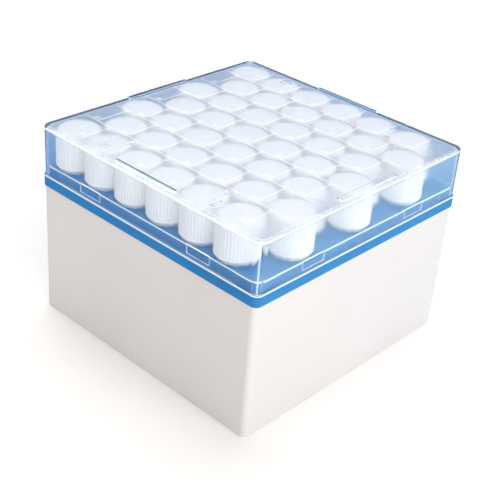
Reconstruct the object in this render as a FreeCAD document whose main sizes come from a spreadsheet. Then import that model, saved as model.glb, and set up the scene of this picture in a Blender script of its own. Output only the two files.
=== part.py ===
"""Tube storage box: a deep base, a moulded rack for capped tubes in staggered rows, and a clear lift-off lid.

Millimetres. +Z is up, the origin is the centre of the footprint on the surface that the box stands on.
+X runs along the rows of tubes, and row 1 is the one furthest along +Y.
"""
import FreeCAD, Part
import math
import os
import re

import Sketcher

SIZES = {
    # tubes and their array
    "columns": (6, "tubes in a row"),
    "rows": (7, "rows, every other one shifted by half a pitch"),
    "column_pitch": (19.8, "from tube to tube along a row"),
    "row_pitch": (18.15, "from row to row"),
    "tube_diameter": (16.0, "outside of a tube"),
    "tube_sides": (16, "flats that stand for a tube's round wall"),
    "cap_diameter": (19.0, "screw cap over its grip ribs"),
    "cap_height": (15.2, "screw cap"),
    "cap_ribs": (12, "grip ribs round a cap"),
    "cap_rib_depth": (0.5, "depth of the grooves between the grip ribs"),
    "cap_lift": (1.5, "free height between the rack's plate and a cap"),
    # clear lid
    "side_gap": (0.55, "from the outermost caps to the lid's walls"),
    "head_gap": (0.8, "from the caps to the lid's top plate"),
    "lid_wall": (1.8, "side wall of the lid"),
    "lid_top": (2.0, "top plate of the lid"),
    "lid_corner": (4.0, "upright corners of the lid, outside"),
    "lid_inner_corner": (2.4, "upright corners of the lid, inside"),
    "lid_edge": (1.2, "rounding of the lid's top edge"),
    "rib_length": (36.0, "stacking rib at the middle of each side"),
    "rib_width": (1.3, "stacking ribs at the front and back"),
    "broad_rib_width": (2.9, "stacking ribs at the ends of the rows"),
    "rib_height": (1.0, "stacking rib"),
    "rib_inset": (1.3, "from the lid's side to a stacking rib"),
    "dimple_diameter": (6.0, "round dimple in the lid's top"),
    "dimple_depth": (0.8, "round dimple"),
    "dimple_inset": (8.8, "from the lid's front or back to a dimple's centre"),
    "feature_offset": (33.3, "from the middle of a side to its dimples and catches"),
    "pocket_length": (13.0, "catch pocket inside the lid's wall"),
    "pocket_height": (4.3, "catch pocket"),
    "pocket_depth": (0.6, "catch pocket"),
    "pocket_above": (1.0, "top of a catch pocket above the rack's plate"),
    "guide_pad_reach": (12.5, "from a corner to the end of a guide pad in the lid"),
    "guide_pad_thickness": (0.3, "guide pad"),
    "guide_pad_height": (6.0, "guide pad"),
    # rack
    "lid_play": (0.5, "between the lid's walls and the rack, each side"),
    "plate_rise": (4.6, "top of the rack's plate above its band"),
    "plate_thickness": (2.2, "plate that the tubes stand in"),
    "plate_corner": (2.6, "upright corners of the raised plate"),
    "plate_edge": (0.4, "bevel of the raised plate's top edge"),
    "hole_play": (0.25, "between a tube and the flats of its hole, each side"),
    "hole_sides": (12, "flats round a hole"),
    "band_height": (5.5, "coloured band between lid and base"),
    "band_proud": (0.2, "band beyond the lid, each side"),
    "band_corner": (3.2, "upright corners of the band"),
    "band_edge": (0.3, "bevel of the band's lower edge"),
    "ledge_thickness": (1.8, "ledge that the lid stands on"),
    "rack_wall": (1.1, "wall of the rack that goes down inside the base"),
    "rack_depth": (16.5, "from the plate's top to the rack's lower edge"),
    "cell_wall": (1.2, "walls between the tubes under the plate"),
    "catch_length": (12.0, "catch bead on the rack"),
    "catch_height": (1.6, "catch bead"),
    "catch_proud": (0.4, "catch bead beyond the rack's side"),
    "catch_drop": (1.2, "from the plate's top to a catch bead"),
    # base
    "base_height": (64.4, "from the standing surface to the band"),
    "base_inset": (0.5, "base inside the band, each side"),
    "base_wall": (1.9, "side wall of the base"),
    "base_corner": (3.0, "upright corners of the base, outside"),
    "base_inner_corner": (1.5, "upright corners of the base, inside"),
    "base_edge": (0.5, "bevel of the base's lower edge"),
    "lip_step": (0.8, "shoulder that the band stands on"),
    "lip_height": (3.4, "lip of the base inside the band"),
    "seat_play": (0.2, "between the rack and the base, each side"),
    "floor_thickness": (2.0, "floor of the base"),
    "foot_width": (3.0, "standing rim under the floor"),
    "foot_height": (1.2, "standing rim, and the depth of its notches for the ribs of a box below"),
    "rib_play": (0.5, "between a stacking rib and its notch"),
}

doc = FreeCAD.newDocument("tube_storage_box")
sheet = doc.addObject("Spreadsheet::Sheet", "Sizes")
for line, (alias, (size, meaning)) in enumerate(SIZES.items(), start=1):
    sheet.set(f"A{line}", meaning)
    sheet.set(f"B{line}", str(size))
    sheet.setAlias(f"B{line}", alias)
doc.recompute()


def sized(formula):
    """A formula with the sheet's name put before each alias, as an expression needs it."""
    return re.sub(r"[a-z_]+", lambda word: f"Sizes.{word[0]}" if word[0] in SIZES else word[0], formula)


def number(formula):
    """The value that a formula has now."""
    return float(sheet.evalExpression(sized(formula)))


# widths along X and Y, from the tubes outwards
LID_INNER = {
    "x": "((columns - 0.5) * column_pitch + cap_diameter + 2 * side_gap)",
    "y": "((rows - 1) * row_pitch + cap_diameter + 2 * side_gap)",
}


def widths(inner, change):
    """Another pair of widths, each a given amount over the first."""
    return {way: f"({width} + {change})" for way, width in inner.items()}


LID_OUTER = widths(LID_INNER, "2 * lid_wall")
PLATE = widths(LID_INNER, "-2 * lid_play")
BAND = widths(LID_OUTER, "2 * band_proud")
BASE = widths(BAND, "-2 * base_inset")
LIP = widths(BASE, "-2 * lip_step")
BAND_INNER = widths(LIP, "2 * seat_play")
BASE_INNER = widths(BASE, "-2 * base_wall")
SKIRT = widths(BASE_INNER, "-2 * seat_play")
RACK_INNER = widths(SKIRT, "-2 * rack_wall")

# heights
BAND_TOP = "(base_height + band_height)"
PLATE_TOP = f"({BAND_TOP} + plate_rise)"
PLATE_UNDER = f"({PLATE_TOP} - plate_thickness)"
RACK_BOTTOM = f"({PLATE_TOP} - rack_depth)"
CAP_UNDER = f"({PLATE_TOP} + cap_lift)"
LID_UNDER = f"({CAP_UNDER} + cap_height + head_gap)"
LID_TOP = f"({LID_UNDER} + lid_top)"
FLOOR_TOP = "(foot_height + floor_thickness)"

# first tube of an odd row (at the left end) and of an even row (half a pitch in)
FIRST_X = {"odd": "((0.5 - columns) * column_pitch / 2)", "even": "((1.5 - columns) * column_pitch / 2)"}
FIRST_Y = {"odd": "((rows - 1) * row_pitch / 2)", "even": "((rows - 3) * row_pitch / 2)"}
ROWS_OF = {"odd": "ceil(rows / 2)", "even": "floor(rows / 2)"}

SIDES = (("x", 1), ("x", -1), ("y", 1), ("y", -1))


def new_body(name):
    body = doc.addObject("PartDesign::Body", name)
    body.Label = name
    return body


def origin_feature(body, role):
    return next(f for f in body.Origin.OriginFeatures if f.Role == role)


def new_sketch(body, name, height="0"):
    """A level sketch of a body, at a height given as a formula."""
    sketch = body.newObject("Sketcher::SketchObject", name)
    sketch.AttachmentSupport = (origin_feature(body, "XY_Plane"), [""])
    sketch.MapMode = "FlatFace"
    sketch.setExpression("AttachmentOffset.Base.z", sized(height))
    return sketch


def constrain(sketch, kind, *where, formula=None):
    """Add a constraint, bound to the sheet where it has a size."""
    values = where if formula is None else (*where, number(formula))
    index = sketch.addConstraint(Sketcher.Constraint(kind, *values))
    if formula is not None:
        sketch.setExpression(f"Constraints[{index}]", sized(formula))


def rectangle(sketch, centre_x, centre_y, length_x, length_y):
    """A plain rectangle, all four measures given as formulas."""
    x, y = number(centre_x), number(centre_y)
    half_x, half_y = number(length_x) / 2, number(length_y) / 2
    left, right, front, back = x - half_x, x + half_x, y - half_y, y + half_y
    corners = [(left, front), (right, front), (right, back), (left, back)]
    first = sketch.GeometryCount
    for k in range(4):
        ends = (FreeCAD.Vector(*corners[k], 0), FreeCAD.Vector(*corners[(k + 1) % 4], 0))
        sketch.addGeometry(Part.LineSegment(*ends), False)
    for k in range(4):
        constrain(sketch, "Coincident", first + k, 2, first + (k + 1) % 4, 1)
        constrain(sketch, "Vertical" if k % 2 else "Horizontal", first + k)
    constrain(sketch, "DistanceX", -1, 1, first, 1, formula=f"{centre_x} - {length_x} / 2")
    constrain(sketch, "DistanceY", -1, 1, first, 1, formula=f"{centre_y} - {length_y} / 2")
    constrain(sketch, "DistanceX", first, 1, first, 2, formula=length_x)
    constrain(sketch, "DistanceY", first + 1, 1, first + 1, 2, formula=length_y)


def rounded_rectangle(sketch, size, radius):
    """A centred rectangle with round corners: four lines, each followed by its corner's arc."""
    half_x, half_y, r = number(size["x"]) / 2, number(size["y"]) / 2, number(radius)
    first = sketch.GeometryCount
    up = FreeCAD.Vector(0, 0, 1)
    starts = [(r - half_x, -half_y), (half_x, r - half_y), (half_x - r, half_y), (-half_x, half_y - r)]
    ends = [(half_x - r, -half_y), (half_x, half_y - r), (r - half_x, half_y), (-half_x, r - half_y)]
    in_x, in_y = half_x - r, half_y - r
    centres = [(in_x, -in_y), (in_x, in_y), (-in_x, in_y), (-in_x, -in_y)]
    for k in range(4):
        sketch.addGeometry(Part.LineSegment(FreeCAD.Vector(*starts[k], 0), FreeCAD.Vector(*ends[k], 0)), False)
        circle = Part.Circle(FreeCAD.Vector(*centres[k], 0), up, r)
        turn = (k - 1) * math.pi / 2
        sketch.addGeometry(Part.ArcOfCircle(circle, turn, turn + math.pi / 2), False)
    for k in range(4):
        side, corner, following = first + 2 * k, first + 2 * k + 1, first + (2 * k + 2) % 8
        constrain(sketch, "Tangent", side, 2, corner, 1)
        constrain(sketch, "Tangent", corner, 2, following, 1)
        constrain(sketch, "Vertical" if k % 2 else "Horizontal", side)
        if k:
            constrain(sketch, "Equal", first + 1, corner)
    constrain(sketch, "Radius", first + 1, formula=radius)
    constrain(sketch, "DistanceX", -1, 1, first + 2, 1, formula=f"{size['x']} / 2")
    constrain(sketch, "DistanceX", first + 6, 1, -1, 1, formula=f"{size['x']} / 2")
    constrain(sketch, "DistanceY", first, 1, -1, 1, formula=f"{size['y']} / 2")
    constrain(sketch, "DistanceY", -1, 1, first + 4, 1, formula=f"{size['y']} / 2")


def circle(sketch, centre_x, centre_y, radius, construction=False):
    place = FreeCAD.Vector(number(centre_x), number(centre_y), 0)
    index = sketch.addGeometry(Part.Circle(place, FreeCAD.Vector(0, 0, 1), number(radius)), construction)
    constrain(sketch, "DistanceX", -1, 1, index, 3, formula=centre_x)
    constrain(sketch, "DistanceY", -1, 1, index, 3, formula=centre_y)
    constrain(sketch, "Radius", index, formula=radius)
    return index


def polygon(sketch, centre_x, centre_y, radii, corners, flat=False):
    """A closed outline whose corners lie in turn on one circle, or on two for a ribbed outline.

    A corner points along +X, or with flat the middle of a side does.
    """
    guides = [circle(sketch, centre_x, centre_y, radius, construction=True) for radius in radii]
    x, y = number(centre_x), number(centre_y)
    points = []
    for k in range(corners):
        reach, turn = number(radii[k % len(radii)]), 2 * math.pi * (k + flat / 2) / corners
        points.append(FreeCAD.Vector(x + reach * math.cos(turn), y + reach * math.sin(turn), 0))
    first = sketch.GeometryCount
    for k in range(corners):
        sketch.addGeometry(Part.LineSegment(points[k], points[(k + 1) % corners]), False)
    for k in range(corners):
        constrain(sketch, "Coincident", first + k, 2, first + (k + 1) % corners, 1)
        constrain(sketch, "PointOnObject", first + k, 1, guides[k % len(guides)])
        if k:
            constrain(sketch, "Equal", first, first + k)
    if flat:
        constrain(sketch, "Vertical", first + corners - 1)
    else:
        constrain(sketch, "Horizontal", guides[0], 3, first, 1)


def pad(body, name, sketch, length, downwards=False):
    feature = body.newObject("PartDesign::Pad", name)
    feature.Profile = sketch
    feature.setExpression("Length", sized(length))
    feature.Reversed = downwards
    return feature


def pocket(body, name, sketch, depth, upwards=False):
    feature = body.newObject("PartDesign::Pocket", name)
    feature.Profile = sketch
    feature.setExpression("Length", sized(depth))
    feature.Reversed = upwards
    return feature


def array(body, name, original, ways):
    """Repeat a feature along X and back along -Y. ways holds (pitch, count) for each."""
    (pitch_x, count_x), (pitch_y, count_y) = ways
    feature = body.newObject("PartDesign::LinearPattern", name)
    feature.Originals = [original]
    feature.Direction = (origin_feature(body, "X_Axis"), [""])
    feature.Direction2 = (origin_feature(body, "Y_Axis"), [""])
    feature.Reversed2 = True
    for index, pitch, count in (("", pitch_x, count_x), ("2", pitch_y, count_y)):
        setattr(feature, "Mode" + index, "Extent")
        feature.setExpression("Length" + index, sized(f"({count} - 1) * {pitch}"))
        feature.setExpression("Occurrences" + index, sized(count))
    body.Tip = feature
    return feature


def dress(body, kind, name, feature, chosen, setting, size):
    """Round or bevel the edges of a feature that a test chooses."""
    doc.recompute()
    edges = [f"Edge{k}" for k, edge in enumerate(feature.Shape.Edges, start=1) if chosen(edge)]
    dressed = body.newObject(f"PartDesign::{kind}", name)
    dressed.Base = (feature, edges)
    dressed.setExpression(setting, sized(size))
    body.Tip = dressed
    return dressed


def outline_edge(height, size):
    """A test for the edges of a level outline, at a height, that reach the outside."""
    level, half_x, half_y = number(height), number(size["x"]) / 2, number(size["y"]) / 2

    def chosen(edge):
        box = edge.BoundBox
        flat = abs(box.ZMin - level) < 0.01 and abs(box.ZMax - level) < 0.01
        reach_x, reach_y = max(-box.XMin, box.XMax), max(-box.YMin, box.YMax)
        return flat and (reach_x > half_x - 0.01 or reach_y > half_y - 0.01)
    return chosen


def alike(formula):
    """The same formula for the sides along X and along Y."""
    return {"x": formula, "y": formula}


def side_rectangles(sketch, size, offset, length, inner, outer):
    """On each side of the box, rectangles at plus and minus an offset from its middle.

    inner and outer are how far inside the side of that size the rectangle's long edges lie.
    """
    for way, sign in SIDES:
        along = "y" if way == "x" else "x"
        middle = f"{sign} * ({size[way]} / 2 - ({inner[way]} + {outer}) / 2)"
        depth = f"({inner[way]} - {outer})"
        for turn in (-1, 1) if offset[along] != "0" else (1,):
            place = f"{turn} * {offset[along]}"
            if way == "x":
                rectangle(sketch, middle, place, depth, length)
            else:
                rectangle(sketch, place, middle, length, depth)


def build_base():
    """White base: a deep open box with a lip for the rack and a standing rim under its floor."""
    body = new_body("base")
    outside = new_sketch(body, "base_outside")
    rounded_rectangle(outside, BASE, "base_corner")
    block = pad(body, "base_block", outside, "base_height")
    dress(body, "Chamfer", "base_lower_edge", block, outline_edge("0", BASE), "Size", "base_edge")
    lip = new_sketch(body, "base_lip_outline", "base_height")
    rounded_rectangle(lip, LIP, "(base_corner - lip_step)")
    pad(body, "base_lip", lip, "lip_height")
    inside = new_sketch(body, "base_inside", "(base_height + lip_height)")
    rounded_rectangle(inside, BASE_INNER, "base_inner_corner")
    pocket(body, "base_hollow", inside, f"base_height + lip_height - {FLOOR_TOP}")
    under = new_sketch(body, "base_underside")
    rounded_rectangle(under, widths(BASE, "-2 * foot_width"), "base_inner_corner")
    pocket(body, "base_foot_hollow", under, "foot_height", upwards=True)
    notches = new_sketch(body, "base_rib_notches")
    lid_beyond = "(band_proud - base_inset)"
    outer = f"({lid_beyond} + rib_inset - rib_play / 2)"
    inner = alike("(foot_width + 0.5)")
    side_rectangles(notches, BASE, alike("0"), "(rib_length + 2 * rib_play)", inner, outer)
    pocket(body, "base_notches", notches, "foot_height", upwards=True)
    return body


def stagger_ways(kind):
    """The array along and across the rows of one kind, odd or even."""
    return ("column_pitch", "columns"), ("(2 * row_pitch)", ROWS_OF[kind])


def build_rack():
    """Blue rack: a raised plate with holes, a band round it, and cell walls that go down between the tubes."""
    body = new_body("rack")
    band = new_sketch(body, "rack_band_outline", "base_height")
    rounded_rectangle(band, BAND, "band_corner")
    block = pad(body, "rack_band", band, "band_height")
    dress(body, "Chamfer", "rack_band_bevel", block, outline_edge("base_height", BAND), "Size", "band_edge")
    raised = new_sketch(body, "rack_plate_outline", BAND_TOP)
    rounded_rectangle(raised, PLATE, "plate_corner")
    plate = pad(body, "rack_plate", raised, "plate_rise")
    dress(body, "Chamfer", "rack_plate_bevel", plate, outline_edge(PLATE_TOP, PLATE), "Size", "plate_edge")
    skirt = new_sketch(body, "rack_skirt_outline", "base_height")
    rounded_rectangle(skirt, SKIRT, "base_inner_corner")
    pad(body, "rack_skirt", skirt, f"base_height - {RACK_BOTTOM}", downwards=True)
    groove = new_sketch(body, "rack_lip_groove", "base_height")
    rounded_rectangle(groove, BAND_INNER, "(base_corner - lip_step + seat_play)")
    rounded_rectangle(groove, SKIRT, "base_inner_corner")
    pocket(body, "rack_groove", groove, "band_height - ledge_thickness", upwards=True)
    inside = new_sketch(body, "rack_inside", RACK_BOTTOM)
    rounded_rectangle(inside, RACK_INNER, "base_inner_corner")
    pocket(body, "rack_hollow", inside, "rack_depth - plate_thickness", upwards=True)

    walls = new_sketch(body, "rack_row_wall_outline", PLATE_UNDER)
    wall_length = f"({RACK_INNER['x']} + rack_wall)"
    rectangle(walls, "0", f"({FIRST_Y['odd']} - row_pitch / 2)", wall_length, "cell_wall")
    wall = pad(body, "rack_row_wall", walls, "rack_depth - plate_thickness", downwards=True)
    array(body, "rack_row_walls", wall, ((wall_length, "1"), ("row_pitch", "(rows - 1)")))
    for kind in ("odd", "even"):
        shift = "1" if kind == "odd" else "-1"
        cells = new_sketch(body, f"rack_{kind}_wall_outline", PLATE_UNDER)
        start = f"({FIRST_X[kind]} + {shift} * column_pitch / 2)"
        rectangle(cells, start, FIRST_Y[kind], "cell_wall", "(row_pitch - cell_wall / 2)")
        wall = pad(body, f"rack_{kind}_wall", cells, "rack_depth - plate_thickness", downwards=True)
        array(body, f"rack_{kind}_walls", wall, stagger_ways(kind))
    for kind in ("odd", "even"):
        holes = new_sketch(body, f"rack_{kind}_hole_outline", PLATE_TOP)
        sides = int(number("hole_sides"))
        reach = "((tube_diameter / 2 + hole_play) / cos(180 deg / hole_sides))"
        polygon(holes, FIRST_X[kind], FIRST_Y[kind], [reach], sides, flat=True)
        hole = pocket(body, f"rack_{kind}_hole", holes, "rack_depth + 1")
        array(body, f"rack_{kind}_holes", hole, stagger_ways(kind))

    beads = new_sketch(body, "rack_catch_outline", f"({PLATE_TOP} - catch_drop)")
    side_rectangles(beads, PLATE, alike("feature_offset"), "catch_length", alike("1"), "(0 - catch_proud)")
    pad(body, "rack_catches", beads, "catch_height", downwards=True)
    return body


def build_lid():
    """Clear lid: a shallow cover with stacking ribs and dimples on top, catch pockets and guide pads inside."""
    body = new_body("lid")
    outside = new_sketch(body, "lid_outside", BAND_TOP)
    rounded_rectangle(outside, LID_OUTER, "lid_corner")
    block = pad(body, "lid_block", outside, f"{LID_TOP} - {BAND_TOP}")
    dress(body, "Fillet", "lid_top_edge", block, outline_edge(LID_TOP, LID_OUTER), "Radius",
          "min(lid_edge; lid_wall - 0.1)")
    inside = new_sketch(body, "lid_inside", BAND_TOP)
    rounded_rectangle(inside, LID_INNER, "lid_inner_corner")
    pocket(body, "lid_hollow", inside, f"{LID_UNDER} - {BAND_TOP}", upwards=True)

    ribs = new_sketch(body, "lid_rib_outline", LID_TOP)
    inner = {"x": "(rib_inset + broad_rib_width)", "y": "(rib_inset + rib_width)"}
    side_rectangles(ribs, LID_OUTER, alike("0"), "rib_length", inner, "rib_inset")
    pad(body, "lid_ribs", ribs, "rib_height")
    dimples = new_sketch(body, "lid_dimple_outline", LID_TOP)
    for sign_x in (-1, 1):
        for sign_y in (-1, 1):
            place = f"{sign_y} * ({LID_OUTER['y']} / 2 - dimple_inset)"
            circle(dimples, f"{sign_x} * feature_offset", place, "dimple_diameter / 2")
    pocket(body, "lid_dimples", dimples, "dimple_depth")

    pockets = new_sketch(body, "lid_pocket_outline", f"({PLATE_TOP} + pocket_above)")
    offset = alike("feature_offset")
    side_rectangles(pockets, LID_INNER, offset, "pocket_length", alike("1"), "(0 - pocket_depth)")
    pocket(body, "lid_catch_pockets", pockets, "pocket_height")

    pads = new_sketch(body, "lid_pad_outline", BAND_TOP)
    pad_length = "(guide_pad_reach - lid_corner)"
    offset = {way: f"({width} / 2 - (guide_pad_reach + lid_corner) / 2)" for way, width in LID_OUTER.items()}
    side_rectangles(pads, LID_INNER, offset, pad_length, alike("guide_pad_thickness"), "(0 - lid_wall / 2)")
    pad(body, "lid_guide_pads", pads, "guide_pad_height")
    return body


def build_cap_pattern():
    """White screw cap with grip ribs, at the origin. Every cap is a copy of it."""
    body = new_body("cap_pattern")
    outline = new_sketch(body, "cap_outline")
    crest = "(cap_diameter / 2)"
    polygon(outline, "0", "0", [crest, f"({crest} - cap_rib_depth)"], 2 * int(number("cap_ribs")))
    pad(body, "cap_block", outline, "cap_height")
    return body


def row_kind(row):
    return "even" if row % 2 else "odd"


def tube_place(row, column):
    """Formulas for the centre of a tube, both counted from 0 at the back left."""
    kind = row_kind(row)
    x = f"({FIRST_X[kind]} + {column} * column_pitch)"
    y = f"(((rows - 1) / 2 - {row}) * row_pitch)"
    return x, y


def build_tube_row(row, columns):
    """The tubes of one row: plain closed bodies that stand on the base's floor and end under their caps."""
    tubes = []
    for column in range(columns):
        tube = doc.addObject("Part::Prism", f"tube_{row * columns + column + 1:02d}")
        tube.setExpression("Polygon", sized("tube_sides"))
        tube.setExpression("Circumradius", sized("tube_diameter / 2"))
        tube.setExpression("Height", sized(f"{CAP_UNDER} - {FLOOR_TOP}"))
        x, y = tube_place(row, column)
        tube.setExpression("Placement.Base.x", sized(x))
        tube.setExpression("Placement.Base.y", sized(y))
        tube.setExpression("Placement.Base.z", sized(FLOOR_TOP))
        tubes.append(tube)
    group = doc.addObject("Part::Compound", f"tubes_row_{row + 1}")
    group.Label = group.Name
    group.Links = tubes
    return group


def build_cap(pattern, row, column, columns):
    """One screw cap, a copy of the pattern at its tube."""
    cap = doc.addObject("Part::Feature", f"cap_{row * columns + column + 1:02d}")
    cap.Label = cap.Name
    cap.Shape = pattern.Shape.copy()
    x, y = tube_place(row, column)
    place = FreeCAD.Vector(number(x), number(y), number(CAP_UNDER))
    cap.Placement = FreeCAD.Placement(place, FreeCAD.Rotation())
    return cap


columns, rows = int(number("columns")), int(number("rows"))
parts = [build_base(), build_rack(), build_lid()]
parts += [build_tube_row(row, columns) for row in range(rows)]
cap_pattern = build_cap_pattern()
doc.recompute()
parts += [build_cap(cap_pattern, row, column, columns) for row in range(rows) for column in range(columns)]
doc.recompute()

for thing in doc.Objects:
    if "Invalid" in thing.State or "Error" in thing.State:
        raise RuntimeError(f"{thing.Name} failed: {thing.State}")
for part in parts:
    if part.Shape.isNull() or not part.Shape.isValid() or not part.Shape.Solids:
        raise RuntimeError(f"{part.Label} has no valid solid")

os.makedirs("parts", exist_ok=True)
for part in parts:
    part.Shape.exportStep(f"parts/{part.Label}.step")
    print(part.Label, "solids", len(part.Shape.Solids), "volume", round(part.Shape.Volume, 1))
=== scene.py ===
"""Looks, light and camera for the tube storage box, built around its packed model."""

import math
from types import SimpleNamespace

import bmesh
import bpy
from bpy.props import FloatProperty, FloatVectorProperty, IntProperty, PointerProperty
from bpy.types import Operator, Panel, PropertyGroup
from mathutils import Matrix, Vector


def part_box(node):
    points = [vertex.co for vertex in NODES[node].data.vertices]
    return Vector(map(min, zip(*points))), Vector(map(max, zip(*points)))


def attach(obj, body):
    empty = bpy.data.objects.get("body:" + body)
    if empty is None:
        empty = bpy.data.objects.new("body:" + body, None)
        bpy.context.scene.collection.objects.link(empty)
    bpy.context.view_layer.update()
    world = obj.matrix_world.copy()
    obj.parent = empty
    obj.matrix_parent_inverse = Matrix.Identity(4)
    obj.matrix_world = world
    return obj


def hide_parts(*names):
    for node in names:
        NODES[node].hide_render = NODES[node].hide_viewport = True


bl_info = {
    "name": "Tube storage box",
    "version": (1, 0, 0),
    "blender": (4, 5, 0),
    "location": "3D View > Sidebar > Tube box",
    "description": "Finishes, printed grid, ribbed caps and studio for a storage box of capped sample tubes",
    "category": "Object",
}

MM = 0.001
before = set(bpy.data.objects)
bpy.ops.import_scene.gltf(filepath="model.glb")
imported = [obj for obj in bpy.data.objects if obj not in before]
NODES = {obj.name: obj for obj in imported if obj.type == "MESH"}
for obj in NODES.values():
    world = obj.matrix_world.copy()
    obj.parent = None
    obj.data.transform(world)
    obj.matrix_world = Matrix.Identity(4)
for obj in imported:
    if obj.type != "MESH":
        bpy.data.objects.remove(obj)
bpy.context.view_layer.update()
CAPS = sorted(name for name in NODES if name.startswith("cap_"))
TUBE_ROWS = sorted(name for name in NODES if name.startswith("tubes_row_"))


def middle(node):
    """The centre of a packed node's box."""
    low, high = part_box(node)
    return (low + high) / 2


CAP_LOW, CAP_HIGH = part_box(CAPS[0])
LID_LOW, LID_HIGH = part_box("lid")
RACK_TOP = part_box("rack")[1].z
CAP_CENTRES = [middle(name) for name in CAPS]
ROWS = len({round(c.y, 4) for c in CAP_CENTRES})
COLUMNS = len(CAPS) // ROWS
COLUMN_PITCH = (CAP_CENTRES[1] - CAP_CENTRES[0]).x
ROW_PITCH = (CAP_CENTRES[0] - CAP_CENTRES[COLUMNS]).y
STAGGER = (CAP_CENTRES[COLUMNS] - CAP_CENTRES[0]).x

# the lid's own measures
RIB_HEIGHT = 1.0 * MM
LID_FACE = LID_HIGH.z - RIB_HEIGHT
LID_UNDERSIDE = LID_FACE - 2.0 * MM
LID_CORNER = 4.0 * MM  # radius of the upright corners
LID_EDGE = 1.2 * MM  # radius of the top edge
THIN_RIB_END = 2.6 * MM  # from the lid's side to the inner face of the thin ribs

# how far the limits of masks keep off the faces that they follow
FINE_MARGIN = 0.05 * MM
RIB_MARGIN = 0.08 * MM
MARGIN = 0.1 * MM

# the lid's painted glow lines and painted shade
EDGES_END = 0.7 * MM  # from the top's underside down to where the walls' bright edges end
ZONE_FADE = 0.5 * MM  # over which the bright lines fade inwards
INNER_EDGES = 0.12  # share of the bright lines that is left further in
CORNER_LINE = 0.35  # brightness of the line down each corner
CORNER_CORE = 0.4  # share of that line's half width that is fully bright
INNER_LINE_REACH = 0.15 * MM  # half width of the thin line where the top edge's rounding ends
DIMPLE_INSET = 2.0 * MM  # from the start of the corners' rounding inwards to the dimples
DIMPLE_FLOOR = 0.5 * MM  # above the top's underside
WHITE_GLOW = 3.0  # light times this turns the glow from blue to white
EDGE_GLOW = (0.93, 0.97, 1.0)
FROST_REACH = 0.4 * MM  # either way from the top's underside
HANDLING = 0.14  # how far handling changes the haze either way
HANDLING_MARKS = {"Scale": 45.0, "Detail": 4.0, "Roughness": 0.6}
NOISE_RANGE = (0.3, 0.7)  # where most of a noise's values lie

# moulded plastic
PLASTIC_IOR = 1.49
# width and limits of the painted edge highlights
EDGE_WIDTH = 0.5 * MM
FLAT, ON_EDGE = 0.985, 0.85  # likeness of a face's normal and its rounded one, off and on an edge
LEVEL = 0.97  # a normal's Z from which a face is level
CLOUD_SWING = 2.0  # how far soft clouds change colour and gloss
GRAIN_SWING = 0.8  # the same for the fine grain
SCATTER = 3.0 * MM  # how far light gets inside milky plastic
MILKY_PAINTED_GLOW = 0.45  # painted glow of milky plastic: an emission of its own colour that lightens the shade between neighbours

GROUND_TURN = (0.07, 0.16)  # X from which painted light makes the blue ground lighter, and where it is fully lit
SENSOR_WIDTH = 36.0
FONT_HEIGHT = 0.72  # height of a digit in a text of size 1
WELD = 0.001 * MM  # points that are nearer than this become one


# sizes and colours that a user would change


def length(name, description, default):
    """A length in metres."""
    return FloatProperty(name=name, description=description, default=default, unit="LENGTH", precision=5)


def share(name, description, default):
    """A plain share from 0 to 1."""
    return FloatProperty(
        name=name, description=description, default=default, min=0.0, max=1.0, subtype="FACTOR"
    )


def brightness(name, description, default):
    """A strength of light."""
    return FloatProperty(name=name, description=description, default=default, min=0.0)


def angle(name, description, degrees):
    """An angle, given in degrees."""
    return FloatProperty(name=name, description=description, default=math.radians(degrees), subtype="ANGLE")


def colour(name, description, default):
    """A linear colour."""
    return FloatVectorProperty(
        name=name, description=description, default=default, size=3, min=0.0, subtype="COLOR"
    )


class BaseFinish(PropertyGroup):
    """Satin white plastic of the base."""

    colour: colour("Colour", "Plastic of the base", (0.74, 0.705, 0.685))
    # the lighter colour along the base's edges is a painted highlight
    edge_highlight_colour: colour("Edge colour", "Painted highlight along the edges", (0.93, 0.92, 0.92))
    roughness: share("Roughness", "How satin the base is", 0.42)
    grain_size: length("Grain size", "Spark-eroded grain of the mould", 0.45 * MM)
    grain_depth: length("Grain depth", "Height of the grain", 0.035 * MM)


class RackFinish(PropertyGroup):
    """Glossy blue plastic of the rack."""

    colour: colour("Colour", "Plastic of the rack", (0.02, 0.20, 0.49))
    # painted highlights on the rack: a pale rim round the raised plate and a line at the top of the band
    edge_highlight_colour: colour("Edge colour", "Painted highlight round the raised plate", (0.80, 0.90, 0.97))
    line: length("Rim line", "Height of the painted highlight round the plate", 0.45 * MM)
    band_highlight_line: length("Band line", "Height of the painted highlight at the top of the band", 0.6 * MM)
    roughness: share("Roughness", "How glossy the rack is", 0.28)
    grain_size: length("Grain size", "Fine grain of the mould", 0.4 * MM)
    grain_depth: length("Grain depth", "Height of the grain", 0.012 * MM)


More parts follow.
